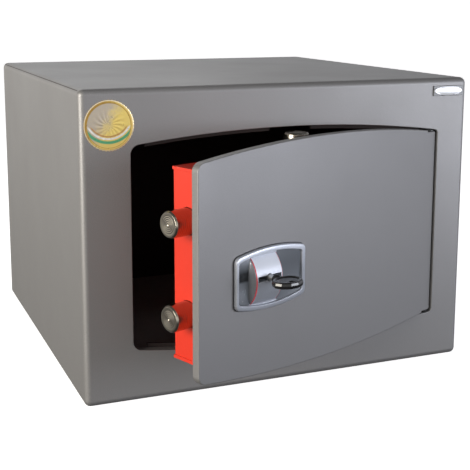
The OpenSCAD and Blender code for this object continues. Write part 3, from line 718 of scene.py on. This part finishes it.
def bolt_profile(radius, length, screw_r, screw_len):
    """Turned bolt from its tip at z = 0 down to -length: centre mark, tool rings, chamfer and body."""
    chamfer, ring_pitch, ring_depth = 1.4 * MM, 1.7 * MM, 0.16 * MM
    profile = [(0, -0.7 * MM), (0.7 * MM, -0.3 * MM), (1.2 * MM, 0)]
    r = 2.1 * MM
    while r < radius - chamfer - ring_pitch:
        profile += [(r, 0), (r + 0.35 * MM, -ring_depth), (r + 0.8 * MM, -ring_depth), (r + 1.15 * MM, 0)]
        r += ring_pitch
    profile += [(radius - chamfer - 0.2 * MM, 0), (radius - chamfer, -0.06 * MM)]
    profile += [(radius - 0.2 * MM, -chamfer + 0.05 * MM), (radius, -chamfer - 0.25 * MM)]
    waist = 9 * MM
    profile += [(radius, -waist), (radius - 0.12 * MM, -waist - 0.15 * MM)]
    profile += [(radius - 0.12 * MM, -waist - 0.75 * MM), (radius, -waist - 0.9 * MM)]
    profile += [(radius, -length + 0.6 * MM), (radius - 0.6 * MM, -length)]
    if screw_len:
        profile += [(screw_r, -length), (screw_r, -length + screw_len), (0, -length + screw_len)]
    else:
        profile += [(0, -length)]
    return profile


def locking_bolt(name, node, axis, screw_len=0.0):
    """A turned bolt along an axis of the closed door: -x, +z or -z."""
    low, high = own_box(node)
    middle = (low + high) / 2
    if axis == "-x":
        tip, length, radius = Vector((low.x, middle.y, middle.z)), high.x - low.x, (high.z - low.z) / 2
        turn = Matrix.Rotation(-math.pi / 2, 4, "Y")
    elif axis == "+z":
        tip, length, radius = Vector((middle.x, middle.y, high.z)), high.z - low.z, (high.x - low.x) / 2
        turn = FIXED
    else:
        tip, length, radius = Vector((middle.x, middle.y, low.z)), high.z - low.z, (high.x - low.x) / 2
        turn = Matrix.Rotation(math.pi, 4, "X")
    screw_r = 2.5 * MM
    bm = lathe(bolt_profile(radius, length, screw_r, screw_len))
    place = ON_DOOR @ Matrix.Translation(tip) @ turn
    return piece(name, bm, [node], nickel, place)


# ---------- escutcheon ----------


ESC_X = (ESC_LOW.x + ESC_HIGH.x) / 2
ESC_W = ESC_HIGH.x - ESC_LOW.x
ESC_RISE = 5 * MM
ESC_CORNER = 5 * MM
ESC_FLOOR_Y = ESC_HIGH.y - 1.5 * MM
SIDE_SHARE = 0.86  # how far the sides move in for each step of the arches
DRIFT = -0.2  # how far the outline moves to the right for each step
RIM_IN = 4.75 * MM  # width of the rim over the windows


def escutcheon_outline(step, r, *fineness):
    """The outer outline moved inwards by a step, less at its sides, and a little to the left."""
    h = ESC_HIGH.z - ESC_LOW.z - 2 * ESC_RISE - 2 * step
    shape = barrel(ESC_W - 2 * SIDE_SHARE * step, h, ESC_RISE, r, *fineness)
    return shifted(shape, ESC_X + DRIFT * step, ESC_MIDDLE)


def escutcheon_rim():
    """Crowned rim round a sunk floor with the keyhole in it."""
    tall, floor_up = ESC_HIGH.y - ESC_LOW.y, 0.375
    keyhole = face_outlines("escutcheon_frame", ESC_FLOOR_Y, 60)[-1]
    profile = [(0.0, 0.0), (0.0, 0.66), (0.14, 0.82), (0.45, 0.92), (0.95, 0.965), (2.2, 0.99)]
    profile += [(3.7, 1.0), (4.05, 0.98), (4.3, 0.90), (4.45, 0.72), (4.55, 0.50), (4.65, 0.40)]
    profile += [(5.0, floor_up)]
    bm = bmesh.new()
    rings = []
    for step, up in profile:
        r = max(ESC_CORNER - 0.45 * step * MM, 3 * MM)
        rings.append(add_ring(bm, escutcheon_outline(step * MM, r), ESC_HIGH.y - tall * up))
    for a, b in zip(rings, rings[1:]):
        bridge(bm, a, b)
    hole_front = add_ring(bm, keyhole, ESC_HIGH.y - tall * floor_up)
    hole_back = add_ring(bm, keyhole, ESC_HIGH.y)
    bridge(bm, hole_front, hole_back)
    cap(bm, [rings[-1], hole_front])
    cap(bm, [rings[0], hole_back])
    piece("escutcheon_rim", bm, ["escutcheon_frame"], silver)


def escutcheon_shadow_sheet():
    """Thin dark sheet that shows round the rim as painted shadow in the gap round the escutcheon. It is a whole
    sheet, with no opening for the key.
    """
    over, thick = 0.75 * MM, 0.9 * MM
    outline = escutcheon_outline(-over, ESC_CORNER + over)
    bm = slab([outline], ESC_HIGH.y - thick, ESC_HIGH.y, [0.25 * MM], 0)
    piece("escutcheon_shadow_sheet", bm, [], shadow_sheet_black, ON_DOOR, "door")


def height_at(loop, x):
    """Greatest height of a loop over the escutcheon's middle, where it crosses x."""
    best = 0.0
    for (xa, za), (xb, zb) in zip(loop, loop[1:] + loop[:1]):
        if (xa - x) * (xb - x) <= 0 and abs(xb - xa) > 1e-9:
            best = max(best, za + (zb - za) * (x - xa) / (xb - xa) - ESC_MIDDLE)
    return best


def escutcheon_window(side, x0, x1, look):
    """Smoked window from x0 to x1, dished between its top and its foot."""
    wide, deep = 28, 24
    inner = escutcheon_outline(RIM_IN, 4 * MM, 12, 96)
    bm = bmesh.new()
    front, behind = [], []
    for i in range(wide + 1):
        share = 0.5 - 0.5 * math.cos(math.pi * i / wide)
        away = share if side == "left" else 1 - share
        at = x0 + (x1 - x0) * min(max(share, 0.004), 0.996)
        half = height_at(inner, at)
        column, column_back = [], []
        for k in range(deep + 1):
            t = -1 + 2 * k / deep
            lift = 0.25 + 1.1 * t * t * (1 - away**3)
            z = ESC_MIDDLE + t * half
            column.append(bm.verts.new((at, ESC_FLOOR_Y - lift * MM, z)))
            column_back.append(bm.verts.new((at, ESC_FLOOR_Y - 0.02 * MM, z)))
        front.append(column)
        behind.append(column_back)
    for grid in (front, behind):
        for a, b in zip(grid, grid[1:]):
            for k in range(deep):
                bm.faces.new((a[k], a[k + 1], b[k + 1], b[k]))
    for i in range(wide):
        for k in (0, deep):
            bm.faces.new((front[i][k], front[i + 1][k], behind[i + 1][k], behind[i][k]))
    for k in range(deep):
        for i in (0, wide):
            bm.faces.new((front[i][k], front[i][k + 1], behind[i][k + 1], behind[i][k]))
    piece(f"escutcheon_window_{side}", bm, ["escutcheon_windows"], look)


def escutcheon():
    """The rim on a thin dark sheet of painted shadow, the two ends of the barrel and the two windows."""
    escutcheon_rim()
    escutcheon_shadow_sheet()
    barrel_low, barrel_high = own_box("escutcheon_bulge")
    for side, inner_x, outward in (("left", barrel_low.x, -1), ("right", barrel_high.x, 1)):
        cheek(side, inner_x, outward, barrel_low, barrel_high, ESC_FLOOR_Y)

    # Painted reflection on the left window: a pale top, a near-black band across its middle and dim greys below.
    # The right window gets a nearly even painted shade, a little lighter at the top.
    left_window_painted_reflection = [(0.0, 0.13), (0.14, 0.14), (0.32, 0.24), (0.49, 0.22), (0.54, 0.02)]
    left_window_painted_reflection += [(0.68, 0.03), (0.84, 0.22), (0.98, 0.50)]
    right_window_painted_shading = [(0.0, 0.16), (0.4, 0.17), (0.7, 0.15), (1.0, 0.19)]
    half_h = (ESC_HIGH.z - ESC_LOW.z) / 2 - RIM_IN
    left_look = smoked_window("left_window", ESC_MIDDLE, half_h, left_window_painted_reflection)
    right_look = smoked_window("right_window", ESC_MIDDLE, half_h, right_window_painted_shading)
    gap = 0.15 * MM
    stripes_low, stripes_high = own_box("escutcheon_stripes")
    left_x = ESC_X - ESC_W / 2 + (SIDE_SHARE + DRIFT) * RIM_IN
    right_x = ESC_X + ESC_W / 2 - (SIDE_SHARE - DRIFT) * RIM_IN
    escutcheon_window("left", left_x, stripes_low.x - gap, left_look)
    escutcheon_window("right", stripes_high.x + gap, right_x, right_look)


def cheek(side, inner_x, outward, barrel_low, barrel_high, floor_y):
    """The end wall of the barrel, flared at its foot, with a red line along its crown."""
    half = (barrel_high.z - barrel_low.z) / 2
    z = (barrel_high.z + barrel_low.z) / 2
    rise = floor_y - barrel_low.y
    crown_r = (half * half + rise * rise) / (2 * rise)
    steps, levels, wall_t, flare, line_h = 48, 14, 1.0 * MM, 1.8 * MM, 0.6 * MM
    width = 0.6 * MM

    def crest(at):
        return max(math.sqrt(crown_r**2 - at * at) - crown_r + rise, 0.01 * MM)

    bm = bmesh.new()
    columns = []
    for i in range(steps + 1):
        at = -half * 0.995 * math.cos(math.pi * i / steps)
        top = max(crest(at) - line_h, 0.008 * MM)
        column = [bm.verts.new((inner_x, floor_y, z + at))]
        for k in range(levels + 1):
            up = k / levels
            out = wall_t + flare * (1 - up) ** 2.6 * min(top / (3 * MM), 1)
            column.append(bm.verts.new((inner_x + outward * out, floor_y - top * up, z + at)))
        column.append(bm.verts.new((inner_x, floor_y - top, z + at)))
        columns.append(column)
    for a, b in zip(columns, columns[1:]):
        bridge(bm, a, b)
    bm.faces.new(columns[0])
    bm.faces.new(columns[-1])
    piece(f"escutcheon_cheek_{side}", bm, ["escutcheon_stripes"], cheek_silver)

    bm = bmesh.new()
    columns = []
    for i in range(steps + 1):
        at = -half * 0.99 * math.cos(math.pi * i / steps)
        top = crest(at)
        low = max(top - line_h, 0.004 * MM)
        shoulder = top - 0.35 * MM * (top > line_h)
        section = [(0, low), (width, low), (width, shoulder), (width - 0.3 * MM, top), (0, top)]
        columns.append([bm.verts.new((inner_x + outward * a, floor_y - b, z + at)) for a, b in section])
    for a, b in zip(columns, columns[1:]):
        bridge(bm, a, b)
    bm.faces.new(columns[0])
    bm.faces.new(columns[-1])
    piece(f"escutcheon_line_{side}", bm, ["escutcheon_stripes"], red_line)


# ---------- key ----------


def key_head():
    """Moulded key head: a faceted disc with dished faces and a ring hole."""
    low, high = own_box("key_bow")
    x, z = (low.x + high.x) / 2, (low.z + high.z) / 2
    half_w = (high.x - low.x) / 2
    half_t = half_thickness("key_bow", half_w * 0.4)
    back_y = high.y - 4 * MM
    y, half_l = (low.y + back_y) / 2, (back_y - low.y) / 2
    sides, corner_r, per_corner, phase = 11, 1.6 * MM, 6, 0.47

    corners = []
    for k in range(sides):
        turn = 2 * math.pi * (k + phase) / sides
        corners.append(Vector((half_w * 1.02 * math.cos(turn), half_l * 1.02 * math.sin(turn))))
    outline = []
    for i, here in enumerate(corners):
        to_before = (corners[i - 1] - here).normalized()
        to_after = (corners[(i + 1) % sides] - here).normalized()
        for k in range(per_corner + 1):
            t = k / per_corner
            start, end = here + to_before * corner_r * 0.45, here + to_after * corner_r * 0.45
            point = start * (1 - t) ** 2 + here * 2 * t * (1 - t) + end * t * t
            point = (min(max(point.x, -half_w), half_w), min(max(point.y, -half_l), half_l))
            outline.append(point)

    hole_r, hole_at = 2.7 * MM, -half_l + 6 * MM
    hole = arc(0, hole_at, hole_r, 0, 2 * math.pi, len(outline))[:-1]
    levels = [(1.0, 0.0), (0.997, 0.06), (0.970, 0.66), (0.95, 0.86), (0.92, 0.96), (0.88, 1.0)]
    levels += [(0.80, 1.0), (0.765, 0.93), (0.74, 0.74), (0.71, 0.68)]
    bm = bmesh.new()

    def ring(loop, share, up):
        return [bm.verts.new((x + a * share, y + b * share, z + half_t * up)) for a, b in loop]

    waist = ring(outline, 1.0, 0.0)
    for face_up in (1, -1):
        previous = waist
        for share, up in levels[1:]:
            current = ring(outline, share, up * face_up)
            bridge(bm, previous, current)
            previous = current
        lip = ring(hole, 1.0, levels[-1][1] * face_up)
        cap(bm, [previous, lip])
        if face_up == 1:
            upper_lip = lip
        else:
            bridge(bm, upper_lip, lip)
    bmesh.ops.transform(bm, matrix=ON_DOOR, verts=bm.verts)
    piece("key_head", bm, ["key_bow"], plastic, FIXED)


def key_collar():
    """Turned collar between the key's head and its stem."""
    low, high = own_box("key_bow")
    x, z = (low.x + high.x) / 2, (low.z + high.z) / 2
    r = (high.z - low.z) / 2
    profile = [(0, 0), (r - 1.0 * MM, 0), (r - 0.25 * MM, 0.4 * MM), (r, 1.1 * MM)]
    profile += [(r, 3.2 * MM), (r - 0.8 * MM, 4.6 * MM), (r - 2 * MM, 5.8 * MM), (0, 5.8 * MM)]
    bm = lathe(profile, 64)
    place = ON_DOOR @ Matrix.Translation((x, high.y, z)) @ Matrix.Rotation(math.pi / 2, 4, "X")
    piece("key_collar", bm, [], plastic, place, "key")


def half_thickness(node, away):
    """Half the height of a door node, further than a distance from its middle."""
    low, high = own_box(node)
    middle_x, middle_z = (low.x + high.x) / 2, (low.z + high.z) / 2
    heights = []
    for v in frame["nodes"][node].data.vertices:
        p = ON_DOOR.inverted() @ v.co
        if abs(p.x - middle_x) > away:
            heights.append(abs(p.z - middle_z))
    return max(heights)


# ---------- CAD nodes that stay ----------


def finish_node(node, look, edge):
    """Gives a carried-over node its look, and breaks its sharp edges by the width edge."""
    obj = frame["nodes"][node]
    obj.data.materials.clear()
    obj.data.materials.append(look)
    if edge:
        weld = obj.modifiers.new("weld", "WELD")
        weld.merge_threshold = 0.004 * MM
        flat = obj.modifiers.new("flat", "DECIMATE")
        flat.decimate_type = "DISSOLVE"
        flat.angle_limit = math.radians(0.2)
        soft = obj.modifiers.new("edge", "BEVEL")
        soft.width = edge
        soft.segments = 2
        soft.limit_method = "ANGLE"
        soft.angle_limit = math.radians(35)
        soft.miter_outer = "MITER_ARC"
        weighted = obj.modifiers.new("weighted", "WEIGHTED_NORMAL")
        weighted.keep_sharp = True


front_frame()
floor_mat()
foil_seal()
badge()
door_plate()
SCREW_DEPTH = 15 * MM
locking_bolt("side_bolt_upper_turned", "side_bolt_upper", "-x", SCREW_DEPTH)
locking_bolt("side_bolt_lower_turned", "side_bolt_lower", "-x", SCREW_DEPTH)
locking_bolt("top_bolt_turned", "top_bolt", "+z")
locking_bolt("bottom_bolt_turned", "bottom_bolt", "-z")
escutcheon()
key_head()
key_collar()

# Painted shade: the hinge pins are made nearly black so that their tops stay dark in the narrow gap by the hinges.
dark_steel = brushed_steel("pin_steel_painted_shade", (0.05, 0.05, 0.052), 0.5)
NODE_LOOKS = {
    "escutcheon_bulge": barrel_silver,
    "hinge_pin_upper": dark_steel,
    "hinge_pin_lower": dark_steel,
}
EDGES = {"lock_case": 0.5 * MM, "case_cap_top": 0.35 * MM, "case_cap_bottom": 0.35 * MM}
SMALL_EDGE = 0.25 * MM
UNBROKEN = ("casing_shell", "escutcheon_bulge", "hinge_pin_upper", "hinge_pin_lower")
for name, obj in frame["nodes"].items():
    if obj.hide_render:
        continue
    look = NODE_LOOKS.get(name, SLOT_LOOKS[SLOT_OF[name]])
    finish_node(name, look, 0 if name in UNBROKEN else EDGES.get(name, SMALL_EDGE))


# ---------- floor, light and camera ----------


def floor():
    """Plain pale floor that reaches the horizon."""
    half = 40.0
    mesh = bpy.data.meshes.new("floor")
    corners = [(-half, -half), (half, -half), (half, half), (-half, half)]
    mesh.from_pydata([(a, b, -0.2 * MM) for a, b in corners], [], [(0, 1, 2, 3)])
    obj = bpy.data.objects.new("floor", mesh)
    bpy.context.scene.collection.objects.link(obj)
    look = Shader("pale_floor", (0.86, 0.86, 0.86), 0.0, 0.8)
    look.set("Emission Color", (1, 1, 1, 1))
    look.set("Emission Strength", 0.82)
    mesh.materials.append(look.material)
    obj.visible_diffuse = False
    obj.visible_glossy = False


def softbox(name, at, aim, width, height, power, color=(1, 1, 1)):
    """A soft rectangular light at a point, aimed at another."""
    data = bpy.data.lights.new(name, "AREA")
    data.shape = "RECTANGLE"
    data.size, data.size_y = width, height
    data.energy = power
    data.color = color
    obj = bpy.data.objects.new(name, data)
    obj.location = at
    obj.rotation_euler = (Vector(aim) - Vector(at)).to_track_quat("-Z", "Y").to_euler()
    obj.visible_camera = False
    bpy.context.scene.collection.objects.link(obj)


def studio(strength):
    """A bright band round the horizon under a dim ceiling, warm on the left and cool on the right."""
    world = bpy.data.worlds.new("studio")
    world.use_nodes = True
    tree = world.node_tree
    back = next(n for n in tree.nodes if n.type == "BACKGROUND")
    direction = tree.nodes.new("ShaderNodeTexCoord").outputs["Generated"]
    parts = tree.nodes.new("ShaderNodeSeparateXYZ")
    tree.links.new(direction, parts.inputs[0])

    def graded(value, stops):
        spread = tree.nodes.new("ShaderNodeMapRange")
        tree.links.new(value, spread.inputs["Value"])
        spread.inputs["From Min"].default_value = -1
        shades = tree.nodes.new("ShaderNodeValToRGB")
        tree.links.new(spread.outputs["Result"], shades.inputs["Fac"])
        while len(shades.color_ramp.elements) < len(stops):
            shades.color_ramp.elements.new(0.5)
        for element, (at, color) in zip(shades.color_ramp.elements, stops):
            element.position = (at + 1) / 2
            element.color = (*color, 1)
        return shades.outputs["Color"]

    by_height = [(-1.0, 0.05), (-0.40, 0.08), (-0.22, 0.34), (-0.08, 0.80), (-0.02, 1.0)]
    by_height += [(0.08, 1.0), (0.16, 0.80), (0.3, 0.75), (0.45, 0.18), (1.0, 0.06)]
    bright = graded(parts.outputs["Z"], [(at, (g, g, g)) for at, g in by_height])
    warm, white, cool = (1.0, 0.955, 0.885), (1, 1, 1), (0.92, 0.93, 1.0)
    tint = graded(parts.outputs["X"], [(-0.8, warm), (0.2, white), (0.8, cool)])
    both = tree.nodes.new("ShaderNodeMix")
    both.data_type = "RGBA"
    both.blend_type = "MULTIPLY"
    both.inputs[0].default_value = 1
    tree.links.new(bright, both.inputs[6])
    tree.links.new(tint, both.inputs[7])
    tree.links.new(both.outputs[2], back.inputs["Color"])
    back.inputs["Strength"].default_value = strength
    bpy.context.scene.world = world


def camera():
    """The camera stands to the left of the middle and a little over the safe."""
    place = Vector((-0.3978, -1.0470, 0.3696))
    yaw, pitch, roll = math.radians(22.04), math.radians(9.992), math.radians(0.12)
    forward = Vector((math.sin(yaw) * math.cos(pitch), math.cos(yaw) * math.cos(pitch), -math.sin(pitch)))
    right = Vector((math.cos(yaw), -math.sin(yaw), 0))
    up = right.cross(forward)
    side = right * math.cos(roll) + up * math.sin(roll)
    top = up * math.cos(roll) - right * math.sin(roll)
    data = bpy.data.cameras.new("camera")
    data.sensor_width = 36
    data.lens = 76.593
    data.shift_y = -0.1277
    data.clip_end = 200
    obj = bpy.data.objects.new("camera", data)
    turn = Matrix((side, top, -forward)).transposed().to_4x4()
    obj.matrix_world = Matrix.Translation(place) @ turn
    bpy.context.scene.collection.objects.link(obj)
    bpy.context.scene.camera = obj


floor()
studio(1.08)
softbox("left_box", (-1.85, -0.72, 0.48), (-0.1, 0, 0.13), 1.0, 0.9, 44, (1.0, 0.94, 0.84))
softbox("right_box", (1.4, -1.5, 0.32), (0.18, -0.2, 0.1), 0.8, 0.7, 17.5, (0.88, 0.91, 1.0))
softbox("top_box", (0.0, 1.4, 1.3), (0, 0, 0.25), 1.2, 0.6, 4)
softbox("high_box", (-0.35, -1.3, 1.5), (-0.08, -0.2, 0.15), 0.5, 0.35, 1.5)
camera()
bpy.context.scene.view_settings.view_transform = "Standard"
